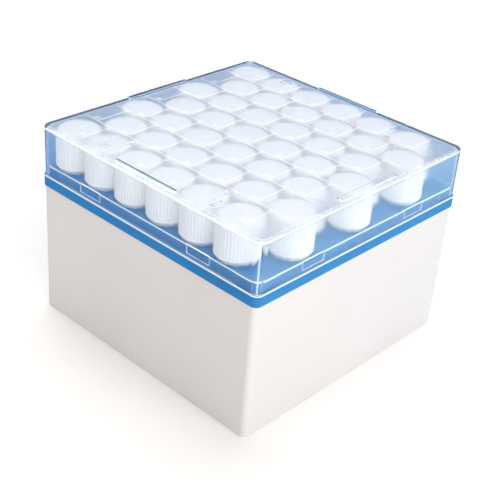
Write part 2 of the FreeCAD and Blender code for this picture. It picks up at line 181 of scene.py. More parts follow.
class LidFinish(PropertyGroup):
    """Clear plastic of the lid."""

    tint: colour("Wall tint", "Colour of what shows through the walls", (0.95, 0.965, 0.985))
    top_tint: colour("Top tint", "Colour of what shows through the frosted top", (0.875, 0.885, 0.92))
    inner_light: colour("Inner light", "Light that falls in through the lid", (0.965, 0.985, 1.0))
    clearness: share("Clearness", "How much of the plastic is clear, and not milky", 0.975)
    wall_haze: share("Wall haze", "Blur of what shows through the walls", 0.13)
    top_haze: share("Top haze", "Blur of what shows through the top, whose underside is frosted", 0.6)
    # the lid's painted glow: emission lines along its edges, corners, rib sides and top edge's rounding
    edge_width: length("Edge width", "Bright line along every edge", 0.6 * MM)
    corner_width: length("Corner width", "Bright line down every rounded corner", 0.7 * MM)
    bottom_line: length("Bottom line", "Height of the bright line along the lid's lower edge", 0.3 * MM)
    top_line: length("Top line", "Height of the bright line under the rounding of the top edge", 0.45 * MM)
    inner_line: share("Inner line", "Brightness of the thin line where the top edge's rounding ends", 0.14)
    # painted shade on the dimples, the top edge's rounding and the ribs' tops and inner sides
    dimple_shade: share("Dimple shade", "How far the dimples take on the painted shade", 0.35)
    round_shade: share("Rounding shade", "How far the top edge's rounding takes on the painted shade", 0.15)
    round_light: share("Rounding light", "Brightness of the top edge's rounding and of the corners", 0.08)
    glow_colour: colour("Glow colour", "Colour of the painted glow where it is faint", (0.12, 0.42, 0.97))
    rib_light: share("Rib light", "Brightness of the outer side of the thin ribs", 0.6)
    # colour of the painted shade on the ribs, dimples and rounding
    painted_shade_colour: colour("Painted shade", "Colour of the painted shade on the thin ribs, the dimples and the rounding", (0.22, 0.36, 0.46))
    painted_glow_strength: share("Painted glow", "Strength of the painted glow along the lid's edges, lines, ribs and corners", 0.8)
    line_zone: length("Line zone", "From the lid's side inwards, where the bright lines end", 1.9 * MM)
    ior: FloatProperty(
        name="Index of refraction", description="Of the lid's plastic", default=1.5, min=1.0, max=2.0
    )


class PrintSizes(PropertyGroup):
    """White grid and numbers printed on the lid."""

    line_width: length("Line width", "Printed line", 0.38 * MM)
    ink_thickness: length("Ink thickness", "How far the ink stands on the lid", 0.03 * MM)
    row_pitch: length("Row pitch", "From one long line to the next", 17.9 * MM)
    column_pitch: length("Column pitch", "From one short line to the next", 19.25 * MM)
    left_end: length("Left end", "From the lid's middle to the long lines' left ends", -62.0 * MM)
    right_end: length("Right end", "From the lid's middle to the long lines' right ends", 59.8 * MM)
    back_end: length("Back end", "From the lid's middle to the first row's open ends", 61.2 * MM)
    front_end: length("Front end", "From the lid's middle to the last row's open ends", -61.2 * MM)
    first_line: length("First long line", "From the lid's middle to the first long line", 44.8 * MM)
    odd_tick: length("Odd rows", "From the lid's middle to the first short line of an odd row", -44.4 * MM)
    even_tick: length("Even rows", "From the lid's middle to the first short line of an even row", -53.7 * MM)
    digit_height: length("Digit height", "Height of a printed number", 2.4 * MM)
    stroke: length("Extra stroke", "Added all round each digit", 0.05 * MM)
    number_gap: length("Number gap", "From a number to the lines of its cell", 1.0 * MM)
    colour: colour("Colour", "Ink of the print", (0.92, 0.93, 0.95))


class CapSizes(PropertyGroup):
    """White ribbed screw caps."""

    diameter: length("Diameter", "Over the grip ribs", (CAP_HIGH - CAP_LOW).x)
    height: length("Height", "Of the screw cap", (CAP_HIGH - CAP_LOW).z)
    ribs: IntProperty(name="Grip ribs", description="Round one cap", default=40, min=8, max=80)
    rib_depth: length("Rib depth", "Depth of the grooves between ribs", 0.32 * MM)
    rim: length("Rim", "Smooth rim below the ribs", 1.0 * MM)
    shoulder: length("Shoulder", "Rounding of the top edge", 1.2 * MM)
    colour: colour("Colour", "Plastic of the caps", (0.82, 0.815, 0.82))
    # painted shade in the grooves between the grip ribs
    groove_painted_shade: share("Groove shade", "How much darker the grooves are", 0.12)
    # milkiness also sets the caps' painted glow
    milkiness_and_glow: share("Milkiness", "Share of the light that scatters inside the plastic", 0.4)
    roughness: share("Roughness", "How satin a cap is", 0.4)


class TubeFinish(PropertyGroup):
    """Milky plastic of the tubes."""

    colour: colour("Colour", "Plastic of the tubes", (0.80, 0.83, 0.85))
    roughness: share("Roughness", "How satin a tube is", 0.35)


class StudioSettings(PropertyGroup):
    """Floor, soft light and camera."""

    floor_size: length("Floor size", "Width of the floor", 40.0)
    floor_colour: colour("Floor colour", "Pale floor", (0.97, 0.96, 0.95))
    ground_colour: colour(
        "Ground colour", "Blue ground that only clear and glossy plastic shows", (0.075, 0.26, 0.55)
    )
    # painted light and painted reflection on the blue ground, lighter on the right
    painted_lit_ground: colour("Bright ground", "The same ground on the right, with painted light from the side box", (0.5, 0.68, 0.88))
    painted_reflection_ground: colour("Mirrored ground", "The ground on the right as gloss mirrors it, lighter with a painted reflection", (0.55, 0.88, 1.05))
    ambient: brightness("Ambient", "Light from all round", 0.56)
    back_box: brightness("Back box", "Soft box above and behind the object", 2.1)
    backdrop: brightness("Backdrop", "Light on the blue backdrop", 0.3)
    warm_side: colour("Warm side", "Tint of the light from the left", (1.0, 0.92, 0.82))
    side_box: brightness("Side box", "Soft box on the right", 1.9)
    azimuth: angle("Azimuth", "Camera round the box", 41.26)
    elevation: angle("Elevation", "Camera above the floor", 30.65)
    roll: angle("Roll", "Camera about its own axis", 4.79)
    distance: length("Distance", "From the camera to the point that it looks at", 482.2 * MM)
    lens: FloatProperty(name="Lens", description="Focal length in mm", default=76.97, min=10.0)
    target: FloatVectorProperty(
        name="Target", description="Point that the camera looks at", default=(0.0124, -0.01107, 0.045),
        size=3, subtype="TRANSLATION",
    )


GROUPS = {
    "tube_box_base": BaseFinish,
    "tube_box_rack": RackFinish,
    "tube_box_lid": LidFinish,
    "tube_box_print": PrintSizes,
    "tube_box_caps": CapSizes,
    "tube_box_tubes": TubeFinish,
    "tube_box_studio": StudioSettings,
}


# node trees


def add_node(tree, kind, inputs=None, **settings):
    """A node with its own settings and the plain values of its inputs, by name or by place."""
    node = tree.nodes.new(kind)
    for name, value in settings.items():
        setattr(node, name, value)
    for key, value in (inputs or {}).items():
        node.inputs[key].default_value = value
    return node


def join(tree, *pairs):
    """Links each pair of sockets."""
    for source, target in pairs:
        tree.links.new(source, target)


def feed(tree, value, target):
    """Gives an input another node's output or a plain value."""
    if isinstance(value, bpy.types.NodeSocket):
        tree.links.new(value, target)
    else:
        target.default_value = value


def math_node(tree, operation, *values, clamp=False):
    """The output of a Math node whose inputs are sockets or plain numbers."""
    node = add_node(tree, "ShaderNodeMath", operation=operation, use_clamp=clamp)
    for value, target in zip(values, node.inputs):
        feed(tree, value, target)
    return node.outputs[0]


def product(tree, first, *others):
    """The product of sockets or numbers, of which the first is a socket."""
    for other in others:
        first = math_node(tree, "MULTIPLY", first, other)
    return first


def largest(tree, first, *others):
    """The largest of several sockets."""
    for other in others:
        first = math_node(tree, "MAXIMUM", first, other)
    return first


def above(tree, value, limit):
    """1 where a value is over its limit, else 0."""
    return math_node(tree, "GREATER_THAN", value, limit)


def below(tree, value, limit):
    """1 where a value is under its limit, else 0."""
    return math_node(tree, "LESS_THAN", value, limit)


def between(tree, value, low, high):
    """1 where a value lies between two limits, else 0."""
    return product(tree, above(tree, value, low), below(tree, value, high))


def distance_from(tree, value, other):
    """How far a value is from another."""
    return math_node(tree, "ABSOLUTE", math_node(tree, "SUBTRACT", value, other))


def hypotenuse(tree, x, y):
    """The length of a flat vector."""
    return math_node(tree, "SQRT", math_node(tree, "ADD", product(tree, x, x), product(tree, y, y)))


def ramp(tree, value, start, end, low=0.0, high=1.0, smooth=False):
    """Goes from low to high while a value goes from start to end, and is level outside."""
    node = add_node(
        tree, "ShaderNodeMapRange", {"From Min": start, "From Max": end, "To Min": low, "To Max": high},
        interpolation_type="SMOOTHSTEP" if smooth else "LINEAR",
    )
    tree.links.new(value, node.inputs["Value"])
    return node.outputs["Result"]


def blend_colours(tree, factor, first, second):
    """The first colour turned into the second by a factor. Colours are sockets or have three parts."""
    node = add_node(tree, "ShaderNodeMix", data_type="RGBA")
    feed(tree, factor, node.inputs["Factor"])
    for value, key in ((first, "A"), (second, "B")):
        feed(tree, value if isinstance(value, bpy.types.NodeSocket) else (*value, 1.0), node.inputs[key])
    return node.outputs["Result"]


def scaled(tree, vector, amount):
    """A colour or vector times an amount."""
    node = add_node(tree, "ShaderNodeVectorMath", operation="SCALE")
    join(tree, (vector, node.inputs[0]), (amount, node.inputs["Scale"]))
    return node.outputs[0]


def dot_product(tree, first, second):
    """The dot product of two vectors."""
    node = add_node(tree, "ShaderNodeVectorMath", operation="DOT_PRODUCT")
    feed(tree, first, node.inputs[0])
    feed(tree, second, node.inputs[1])
    return node.outputs["Value"]


def parts_of(tree, vector):
    """The X, Y and Z of a vector."""
    node = tree.nodes.new("ShaderNodeSeparateXYZ")
    tree.links.new(vector, node.inputs[0])
    return node.outputs


def vector_of(tree, *parts):
    """A vector from three sockets or numbers."""
    node = tree.nodes.new("ShaderNodeCombineXYZ")
    for value, target in zip(parts, node.inputs):
        feed(tree, value, target)
    return node.outputs[0]


def object_place(tree):
    """Where on its object a point lies."""
    return tree.nodes.new("ShaderNodeTexCoord").outputs["Object"]


def add_sockets(tree, way, *sockets):
    """Named inputs or outputs of a node group, each with its kind and maybe its default."""
    for name, kind, *default in sockets:
        socket = tree.interface.new_socket(name, in_out=way, socket_type=f"NodeSocket{kind}")
        if default:
            socket.default_value = default[0]


def moulded_surface():
    """Shader group for moulded plastic: soft clouds in its colour, uneven gloss and the mould's grain."""
    if "Moulded surface" in bpy.data.node_groups:
        return bpy.data.node_groups["Moulded surface"]
    tree = bpy.data.node_groups.new("Moulded surface", "ShaderNodeTree")
    add_sockets(
        tree, "INPUT", ("Colour", "Color", (0.8, 0.8, 0.8, 1.0)), ("Clouds", "Float", 0.05),
        ("Cloud size", "Float", 0.04), ("Roughness", "Float", 0.4), ("Gloss spread", "Float", 0.08),
        ("Grain size", "Float", 0.4 * MM), ("Grain depth", "Float", 0.02 * MM),
    )
    add_sockets(tree, "OUTPUT", ("Colour", "Color"), ("Roughness", "Float"), ("Normal", "Vector"))
    given = tree.nodes.new("NodeGroupInput").outputs
    made = tree.nodes.new("NodeGroupOutput").inputs
    place = object_place(tree)
    clouds = add_node(tree, "ShaderNodeTexNoise", {"Detail": 3.0, "Roughness": 0.55})
    grain = add_node(tree, "ShaderNodeTexNoise", {"Detail": 2.0, "Roughness": 0.6})
    join(
        tree,
        (place, clouds.inputs["Vector"]),
        (place, grain.inputs["Vector"]),
        (math_node(tree, "DIVIDE", 1.0, given["Cloud size"]), clouds.inputs["Scale"]),
        (math_node(tree, "DIVIDE", 1.0, given["Grain size"]), grain.inputs["Scale"]),
    )
    swing = product(tree, math_node(tree, "SUBTRACT", clouds.outputs["Fac"], 0.5), CLOUD_SWING)
    speck = product(tree, math_node(tree, "SUBTRACT", grain.outputs["Fac"], 0.5), GRAIN_SWING)
    uneven = math_node(tree, "ADD", swing, speck)
    tone = math_node(tree, "MULTIPLY_ADD", uneven, given["Clouds"], 1.0)
    gloss = math_node(tree, "MULTIPLY_ADD", uneven, given["Gloss spread"], given["Roughness"], clamp=True)
    bump = add_node(tree, "ShaderNodeBump", {"Strength": 1.0})
    join(
        tree,
        (grain.outputs["Fac"], bump.inputs["Height"]),
        (given["Grain depth"], bump.inputs["Distance"]),
        (scaled(tree, given["Colour"], tone), made["Colour"]),
        (gloss, made["Roughness"]),
        (bump.outputs["Normal"], made["Normal"]),
    )
    return tree


def painted_edge_highlights():
    """Shader group for painted highlights: a lighter line along every edge of a moulding, and two lines round
    its sides.
    """
    if "Painted edge highlights" in bpy.data.node_groups:
        return bpy.data.node_groups["Painted edge highlights"]
    tree = bpy.data.node_groups.new("Painted edge highlights", "ShaderNodeTree")
    add_sockets(
        tree, "INPUT", ("Colour", "Color", (0.0, 0.0, 0.0, 1.0)),
        ("Edge colour", "Color", (1.0, 1.0, 1.0, 1.0)),
        ("Width", "Float", EDGE_WIDTH), ("Amount", "Float", 1.0), ("Lowest", "Float", -1.0),
        ("Highest", "Float", 1.0), ("Line low", "Float", 1.0), ("Line high", "Float", -1.0),
        ("Second low", "Float", 1.0), ("Second high", "Float", -1.0),
    )
    add_sockets(tree, "OUTPUT", ("Colour", "Color"), ("Edge", "Float"))
    given = tree.nodes.new("NodeGroupInput").outputs
    made = tree.nodes.new("NodeGroupOutput").inputs
    rounded = add_node(tree, "ShaderNodeBevel", samples=6)
    tree.links.new(given["Width"], rounded.inputs["Radius"])
    face = tree.nodes.new("ShaderNodeNewGeometry").outputs["Normal"]
    likeness = math_node(tree, "ABSOLUTE", dot_product(tree, rounded.outputs["Normal"], face))
    height = parts_of(tree, object_place(tree))["Z"]
    edge = math_node(tree, "MULTIPLY", ramp(tree, likeness, FLAT, ON_EDGE), given["Amount"], clamp=True)
    edge = product(tree, edge, between(tree, height, given["Lowest"], given["Highest"]))
    lines = largest(tree, *(
        between(tree, height, given[f"{line} low"], given[f"{line} high"]) for line in ("Line", "Second")
    ))
    on_side = below(tree, math_node(tree, "ABSOLUTE", parts_of(tree, face)["Z"]), LEVEL)
    # painted highlight on rounded edges and on the two lines round the sides
    mask = largest(tree, edge, product(tree, lines, on_side))
    join(
        tree,
        (blend_colours(tree, mask, given["Colour"], given["Edge colour"]), made["Colour"]),
        (mask, made["Edge"]),
    )
    return tree


def place_group(tree, group, values):
    """A shader group in a material, with these input values by name. Colours may have three parts."""
    node = add_node(tree, "ShaderNodeGroup", node_tree=group)
    for key, value in values.items():
        node.inputs[key].default_value = (*value, 1.0) if node.inputs[key].type == "RGBA" else value
    return node


def new_material(name):
    """An empty material with its output node."""
    material = bpy.data.materials.new(name)
    material.use_nodes = True
    material.node_tree.nodes.clear()
    return material, material.node_tree, material.node_tree.nodes.new("ShaderNodeOutputMaterial")


def moulded_plastic(
    name, tone, roughness, clouds, grain, spread=0.08, gloss=0.5, edges=None, shade=None, milky=0.0
):
    """Opaque moulded plastic.

    grain holds the size and depth of the mould's grain, edges values for the group of painted edge
    highlights, shade an attribute and how much painted shade it gives, and milky the share of light that
    scatters inside, which also sets a painted glow.
    """
    material, tree, output = new_material(name)
    shader = add_node(tree, "ShaderNodeBsdfPrincipled", {
        "IOR": PLASTIC_IOR, "Specular IOR Level": gloss, "Subsurface Weight": milky,
        "Subsurface Radius": (1.0, 1.0, 1.0), "Subsurface Scale": SCATTER,
        # painted glow: milky plastic gives out a little of its own colour as light
        "Emission Strength": milky * MILKY_PAINTED_GLOW,
    })
    size, depth = grain
    surface = place_group(tree, moulded_surface(), {
        "Colour": tone, "Clouds": clouds, "Roughness": roughness, "Gloss spread": spread,
        "Grain size": size, "Grain depth": depth,
    })
    skin = surface.outputs["Colour"]
    if edges:
        edge = place_group(tree, painted_edge_highlights(), edges)
        tree.links.new(skin, edge.inputs["Colour"])
        skin = edge.outputs["Colour"]
    # painted shade, darker where the attribute is set
    if shade:
        attribute, painted_darkness = shade
        mask = add_node(tree, "ShaderNodeAttribute", attribute_name=attribute)
        skin = scaled(tree, skin, math_node(tree, "MULTIPLY_ADD", mask.outputs["Fac"], -painted_darkness, 1.0))
    join(
        tree,
        (skin, shader.inputs["Base Color"]),
        (skin, shader.inputs["Emission Color"]),
        (surface.outputs["Roughness"], shader.inputs["Roughness"]),
        (surface.outputs["Normal"], shader.inputs["Normal"]),
        (shader.outputs[0], output.inputs["Surface"]),
    )
    material.diffuse_color = (*tone, 1.0)
    material.cycles.emission_sampling = "NONE"
    return material


def lid_places(tree):
    """Where on the lid a point lies, and masks for its corners, its thin ribs and its top edge's rounding."""
    place = object_place(tree)
    x, y, z = parts_of(tree, place)
    past_x = math_node(tree, "SUBTRACT", math_node(tree, "ABSOLUTE", x), LID_HIGH.x - LID_CORNER)
    past_y = math_node(tree, "SUBTRACT", math_node(tree, "ABSOLUTE", y), LID_HIGH.y - LID_CORNER)
    from_corner = hypotenuse(tree, *(math_node(tree, "MAXIMUM", past, 0.0) for past in (past_x, past_y)))
    thin_rib = product(tree, above(tree, z, LID_FACE + FINE_MARGIN), above(tree, past_y, past_x))
    # the tops and inner sides of the thin ribs get painted shade, and their outer sides a painted glow
    top_or_inner_side = largest(
        tree, below(tree, past_y, LID_CORNER - THIN_RIB_END + MARGIN), above(tree, z, LID_HIGH.z - RIB_MARGIN)
    )
    return SimpleNamespace(
        place=place, z=z, past_x=past_x, past_y=past_y, from_corner=from_corner, thin_rib=thin_rib,
        rib_painted_shade=product(tree, thin_rib, top_or_inner_side),
        in_corner=product(
            tree, above(tree, math_node(tree, "MINIMUM", past_x, past_y), 0.0), below(tree, z, LID_UNDERSIDE)
        ),
        on_round=product(
            tree, above(tree, z, LID_FACE - LID_EDGE),
            above(tree, from_corner, LID_CORNER - LID_EDGE + MARGIN),
        ),
    )


def lid_painted_glow(tree, finish, at):
    """The painted glow of each point of the lid: its edges, lines, ribs and corners and its top edge's
    rounding.
    """
    edge = place_group(tree, painted_edge_highlights(), {
        "Width": finish.edge_width, "Highest": LID_UNDERSIDE - EDGES_END,
        "Line low": LID_LOW.z - MM, "Line high": LID_LOW.z + finish.bottom_line,
        "Second low": LID_FACE - LID_EDGE - finish.top_line, "Second high": LID_FACE - LID_EDGE + MARGIN,
    })
    zone_end = LID_CORNER - finish.line_zone
    near_side = ramp(tree, at.from_corner, zone_end, zone_end + ZONE_FADE, low=INNER_EDGES)
    off_diagonal = distance_from(tree, at.past_x, at.past_y)
    diagonal = ramp(tree, off_diagonal, finish.corner_width, finish.corner_width * CORNER_CORE, smooth=True)
    rounding_end = below(tree, distance_from(tree, at.from_corner, LID_CORNER - LID_EDGE), INNER_LINE_REACH)
    at_face = above(tree, at.z, LID_FACE - INNER_LINE_REACH)
    return largest(
        tree,
        product(tree, edge.outputs["Edge"], near_side),
        product(tree, math_node(tree, "SUBTRACT", at.thin_rib, at.rib_painted_shade), finish.rib_light),
        product(tree, rounding_end, at_face, finish.inner_line),
        product(tree, at.on_round, finish.round_light),
        product(tree, at.in_corner, finish.round_light / 2),
        product(tree, diagonal, at.in_corner, CORNER_LINE),
    )


def lid_painted_shade(tree, finish, at):
    """How far each point of the lid takes on the painted shade: the ribs, the dimples and the rounding."""
    inside = below(tree, largest(tree, at.past_x, at.past_y), -DIMPLE_INSET)
    in_top = between(tree, at.z, LID_UNDERSIDE + DIMPLE_FLOOR, LID_FACE - FINE_MARGIN)
    return largest(
        tree, at.rib_painted_shade, product(tree, inside, in_top, finish.dimple_shade),
        product(tree, at.on_round, finish.round_shade),
    )


def lid_haze(tree, finish, at):
    """The lid's roughness: its top is frosted from below and its walls are clearer, both a little uneven."""
    marks = add_node(tree, "ShaderNodeTexNoise", HANDLING_MARKS)
    tree.links.new(at.place, marks.inputs["Vector"])
    uneven = ramp(tree, marks.outputs["Fac"], *NOISE_RANGE, 1 - HANDLING, 1 + HANDLING)
    at_underside = below(tree, distance_from(tree, at.z, LID_UNDERSIDE), FROST_REACH)
    return product(tree, ramp(tree, at_underside, 0.0, 1.0, finish.wall_haze, finish.top_haze), uneven)


def clear_plastic(name, finish):
    """Clear moulded plastic that bends light, and lets lamps and soft light reach what is under it."""
    material, tree, output = new_material(name)
    shader = add_node(tree, "ShaderNodeBsdfPrincipled", {
        "IOR": finish.ior, "Transmission Weight": finish.clearness, "Emission Strength": finish.painted_glow_strength,
    })
    at = lid_places(tree)
    at_top = ramp(tree, at.z, LID_UNDERSIDE - FROST_REACH, LID_UNDERSIDE - MARGIN)
    tone = blend_colours(tree, at_top, finish.tint, finish.top_tint)
    # painted shade on the ribs, the dimples and the rounding, blended into the base colour
    shade = lid_painted_shade(tree, finish, at)
    # painted glow along the edges, lines, ribs and corners, given out as emission
    light = lid_painted_glow(tree, finish, at)
    whiteness = math_node(tree, "MULTIPLY", light, WHITE_GLOW, clamp=True)
    glow = scaled(tree, blend_colours(tree, whiteness, finish.glow_colour, EDGE_GLOW), light)
    straight = add_node(tree, "ShaderNodeBsdfTransparent", {"Color": (*finish.inner_light, 1.0)})
    path = tree.nodes.new("ShaderNodeLightPath").outputs
    blend = tree.nodes.new("ShaderNodeMixShader")
    join(
        tree,
        (blend_colours(tree, shade, tone, finish.painted_shade_colour), shader.inputs["Base Color"]),
        (lid_haze(tree, finish, at), shader.inputs["Roughness"]),
        (glow, shader.inputs["Emission Color"]),
        (largest(tree, path["Is Shadow Ray"], path["Is Diffuse Ray"]), blend.inputs[0]),
        (shader.outputs[0], blend.inputs[1]),
        (straight.outputs[0], blend.inputs[2]),
        (blend.outputs[0], output.inputs["Surface"]),
    )
    material.diffuse_color = (*finish.tint, 0.3)
    material.cycles.emission_sampling = "NONE"
    return material


def dress(node, material):
    """Gives a packed node its finish."""
    slots = NODES[node].material_slots
    if not slots:
        NODES[node].data.materials.append(material)
    for slot in slots:
        slot.material = material


# meshes


def mesh_object(name, shape, material=None, smooth=False):
    """An object at the origin from a bmesh, which is freed."""
    mesh = bpy.data.meshes.new(name)
    shape.to_mesh(mesh)
    shape.free()
    if smooth:
        mesh.shade_smooth()
    else:
        mesh.shade_flat()
    if material:
        mesh.materials.append(material)
    piece = bpy.data.objects.new(name, mesh)
    bpy.context.scene.collection.objects.link(piece)
    return piece


def lathe(profile, sides):
    """A closed body turned about Z. The profile runs from the axis at the bottom to the axis at the top."""
    shape = bmesh.new()
    rings = []
    for radius, height in profile[1:-1]:
        turn = (2 * math.pi * (k + 0.5) / sides for k in range(sides))
        rings.append([shape.verts.new((radius * math.cos(a), radius * math.sin(a), height)) for a in turn])
    bottom, top = (shape.verts.new((0, 0, profile[end][1])) for end in (0, -1))
    for k in range(sides):
        n = (k + 1) % sides
        shape.faces.new((bottom, rings[0][n], rings[0][k]))
        shape.faces.new((top, rings[-1][k], rings[-1][n]))
        for low, high in zip(rings, rings[1:]):
            shape.faces.new((low[k], low[n], high[n], high[k]))
    bmesh.ops.recalc_face_normals(shape, faces=shape.faces)
    return shape


def run_nodes(piece, tree, values):
    """Runs a Geometry Nodes tree on a piece with these input values, and keeps the plain result."""
    modifier = piece.modifiers.new(tree.name, "NODES")
    modifier.node_group = tree
    for item in tree.interface.items_tree:
        if item.in_out == "INPUT" and item.name in values:
            modifier[item.identifier] = values[item.name]
    piece.update_tag()
    evaluated = piece.evaluated_get(bpy.context.evaluated_depsgraph_get())
    mesh = bpy.data.meshes.new_from_object(evaluated)
    piece.modifiers.remove(modifier)
    rough, piece.data = piece.data, mesh
    mesh.name = piece.name
    bpy.data.meshes.remove(rough)
    if not mesh.polygons:
        raise RuntimeError(f"{tree.name} made no faces")
    return piece


def cap_rows_tree():
    """Cuts grip grooves into one plain cap and sets it out in staggered rows."""
    tree = bpy.data.node_groups.new("Cap rows", "GeometryNodeTree")
    add_sockets(
        tree, "INPUT", ("Cap", "Geometry"), ("Ribs", "Int", 40), ("Rib depth", "Float", 0.3 * MM),
        ("Rib start", "Float", 1.0 * MM), ("Rib end", "Float", 13.0 * MM), ("Side radius", "Float", 9.0 * MM),
        ("Columns", "Int", 6), ("Rows", "Int", 7), ("Column pitch", "Float", 0.02),
        ("Row pitch", "Float", 0.018), ("Stagger", "Float", 0.01), ("Middle", "Vector", (0.0, 0.0, 0.0)),
        ("Material", "Material"),
    )
    add_sockets(tree, "OUTPUT", ("Caps", "Geometry"))
    value = tree.nodes.new("NodeGroupInput").outputs
    made = tree.nodes.new("NodeGroupOutput")

    x, y, z = parts_of(tree, tree.nodes.new("GeometryNodeInputPosition").outputs[0])
    turn = math_node(tree, "DIVIDE", math_node(tree, "ARCTAN2", y, x), 2 * math.pi)
    phase = math_node(tree, "FRACT", product(tree, turn, value["Ribs"]))
    reach = hypotenuse(tree, x, y)
    cut = product(
        tree, between(tree, z, value["Rib start"], value["Rib end"]),
        above(tree, reach, value["Side radius"]), above(tree, phase, 0.5),
    )
    inward = math_node(tree, "DIVIDE", product(tree, cut, value["Rib depth"], -1.0), reach)
    offset = vector_of(tree, product(tree, x, inward), product(tree, y, inward), 0.0)
    marked = add_node(
        tree, "GeometryNodeStoreNamedAttribute", {"Name": "groove"}, data_type="FLOAT", domain="POINT"
    )
    ribbed = tree.nodes.new("GeometryNodeSetPosition")
    join(
        tree,
        (value["Cap"], marked.inputs["Geometry"]),
        (cut, marked.inputs["Value"]),
        (marked.outputs[0], ribbed.inputs["Geometry"]),
        (offset, ribbed.inputs["Offset"]),
    )

    grid = tree.nodes.new("GeometryNodeMeshGrid")
    wide, deep = (
        product(tree, math_node(tree, "SUBTRACT", value[count], 1.0), value[pitch])
        for count, pitch in (("Columns", "Column pitch"), ("Rows", "Row pitch"))
    )
    from_back = math_node(tree, "SUBTRACT", math_node(tree, "DIVIDE", deep, 2.0), y)
    row = math_node(tree, "ROUND", math_node(tree, "DIVIDE", from_back, value["Row pitch"]))
    odd = math_node(tree, "MODULO", row, 2.0)
    shift = product(tree, math_node(tree, "SUBTRACT", odd, 0.5), value["Stagger"])
    staggered = tree.nodes.new("GeometryNodeSetPosition")
    to_middle = add_node(tree, "ShaderNodeVectorMath", operation="ADD")
    spread = tree.nodes.new("GeometryNodeInstanceOnPoints")
    plain = tree.nodes.new("GeometryNodeRealizeInstances")
    finish = tree.nodes.new("GeometryNodeSetMaterial")
    join(
        tree,
        (value["Columns"], grid.inputs["Vertices X"]),
        (value["Rows"], grid.inputs["Vertices Y"]),
        (wide, grid.inputs["Size X"]),
        (deep, grid.inputs["Size Y"]),
        (vector_of(tree, shift, 0.0, 0.0), to_middle.inputs[0]),
        (value["Middle"], to_middle.inputs[1]),
        (grid.outputs["Mesh"], staggered.inputs["Geometry"]),
        (to_middle.outputs[0], staggered.inputs["Offset"]),
        (staggered.outputs[0], spread.inputs["Points"]),
        (ribbed.outputs[0], spread.inputs["Instance"]),
        (spread.outputs[0], plain.inputs[0]),
        (plain.outputs[0], finish.inputs["Geometry"]),
        (value["Material"], finish.inputs["Material"]),
        (finish.outputs[0], made.inputs[0]),
    )
    return tree


def printed_lines_tree():
    """Long lines between the rows, and short staggered lines between the tubes of a row."""
    tree = bpy.data.node_groups.new("Printed lines", "GeometryNodeTree")
    add_sockets(
        tree, "INPUT", ("Geometry", "Geometry"), ("Count", "Int", 6), ("Start", "Vector", (0.0, 0.0, 0.0)),
        ("Step", "Vector", (0.0, 0.0, 0.0)), ("Line", "Vector", (0.1, 0.0004, 0.00003)),
        ("Material", "Material"),
    )
    add_sockets(tree, "OUTPUT", ("Lines", "Geometry"))
    value = tree.nodes.new("NodeGroupInput").outputs
    made = tree.nodes.new("NodeGroupOutput")
    row = add_node(tree, "GeometryNodeMeshLine", mode="OFFSET")
    line = tree.nodes.new("GeometryNodeMeshCube")
    spread = tree.nodes.new("GeometryNodeInstanceOnPoints")
    both = tree.nodes.new("GeometryNodeJoinGeometry")
    plain = tree.nodes.new("GeometryNodeRealizeInstances")
    finish = tree.nodes.new("GeometryNodeSetMaterial")
    join(
        tree,
        (value["Count"], row.inputs["Count"]),
        (value["Start"], row.inputs["Start Location"]),
        (value["Step"], row.inputs["Offset"]),
        (value["Line"], line.inputs["Size"]),
        (row.outputs[0], spread.inputs["Points"]),
        (line.outputs["Mesh"], spread.inputs["Instance"]),
        (spread.outputs[0], both.inputs[0]),
        (value["Geometry"], both.inputs[0]),
        (both.outputs[0], plain.inputs[0]),
        (plain.outputs[0], finish.inputs["Geometry"]),
        (value["Material"], finish.inputs["Material"]),
        (finish.outputs[0], made.inputs[0]),
    )
    return tree


# operators, one for each piece or group of like pieces


class TUBEBOX_OT_base(Operator):
    """Gives the base its satin white plastic"""

    bl_idname = "tube_box.base"
    bl_label = "Base"

    def execute(self, context):
        finish = context.scene.tube_box_base
        dress("base", moulded_plastic(
            "base_plastic", finish.colour, finish.roughness, clouds=0.03,
            grain=(finish.grain_size, finish.grain_depth), spread=0.1,
            # painted highlight along the base's rounded edges
            edges={"Edge colour": finish.edge_highlight_colour, "Width": EDGE_WIDTH, "Amount": 0.5},
        ))
        return {"FINISHED"}


class TUBEBOX_OT_rack(Operator):
    """Gives the rack its glossy blue plastic"""

    bl_idname = "tube_box.rack"
    bl_label = "Rack"

    def execute(self, context):
        finish = context.scene.tube_box_rack
        dress("rack", moulded_plastic(
            "rack_plastic", finish.colour, finish.roughness, clouds=0.08,
            grain=(finish.grain_size, finish.grain_depth), spread=0.06, gloss=0.45,
            # painted highlights round the raised plate and at the top of the band
            edges={
                "Edge colour": finish.edge_highlight_colour, "Width": EDGE_WIDTH, "Lowest": RACK_TOP - MM,
                "Line low": RACK_TOP - finish.line, "Line high": RACK_TOP + MM,
                "Second low": LID_LOW.z - finish.band_highlight_line, "Second high": LID_LOW.z + FINE_MARGIN,
            },
        ))
        return {"FINISHED"}


class TUBEBOX_OT_tubes(Operator):
    """Gives the tubes their milky plastic"""

    bl_idname = "tube_box.tubes"
    bl_label = "Tubes"

    def execute(self, context):
        finish = context.scene.tube_box_tubes
        milky = moulded_plastic(
            "tube_plastic", finish.colour, finish.roughness, clouds=0.03, grain=(0.6 * MM, 0.01 * MM)
        )
        for row in TUBE_ROWS:
            dress(row, milky)
        return {"FINISHED"}


class TUBEBOX_OT_lid(Operator):
    """Gives the lid its clear plastic"""

    bl_idname = "tube_box.lid"
    bl_label = "Lid"

    def execute(self, context):
        dress("lid", clear_plastic("lid_plastic", context.scene.tube_box_lid))
        return {"FINISHED"}


